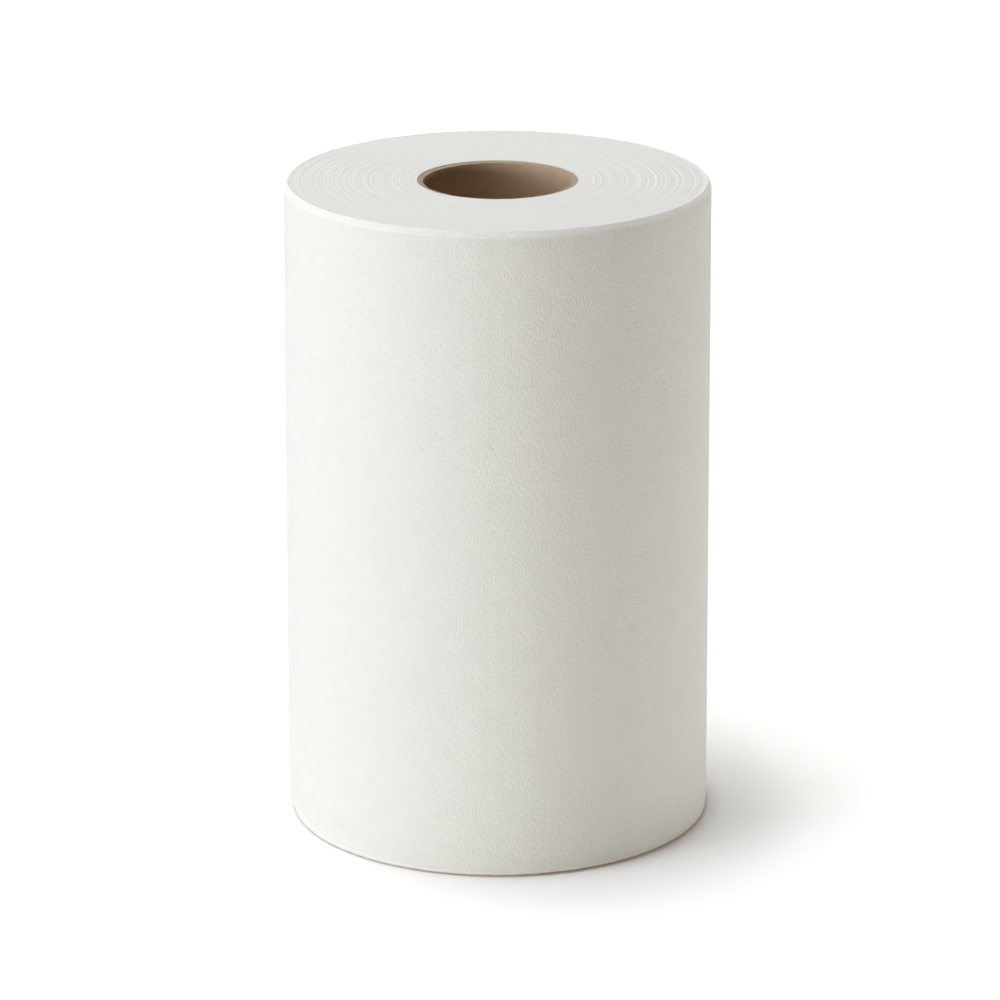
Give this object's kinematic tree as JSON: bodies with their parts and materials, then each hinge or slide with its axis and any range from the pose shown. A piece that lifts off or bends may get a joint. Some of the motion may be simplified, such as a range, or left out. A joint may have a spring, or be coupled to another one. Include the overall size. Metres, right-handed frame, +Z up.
{
  "type": "paper towel roll",
  "caption": "White hard-wound paper towel sheet on a kraft paperboard core tube, a plain cylinder standing on its end with an open core for a dispenser hub.",
  "frame": {"origin": "centre of the bottom end face, on the roll's axis, where the roll stands on a surface", "axes": "+Z up along the roll's axis; -Y is the front, and the sheet's free end is at the back, towards +Y"},
  "size_m": [0.132, 0.132, 0.2032],
  "materials": {
    "towel_paper": "matt, creped",
    "kraft_paperboard": "matt, spiral wound"
  },
  "bodies": {
    "root": {"wound_sheet": "towel_paper", "core_tube": "kraft_paperboard"}
  },
  "joints": []
}
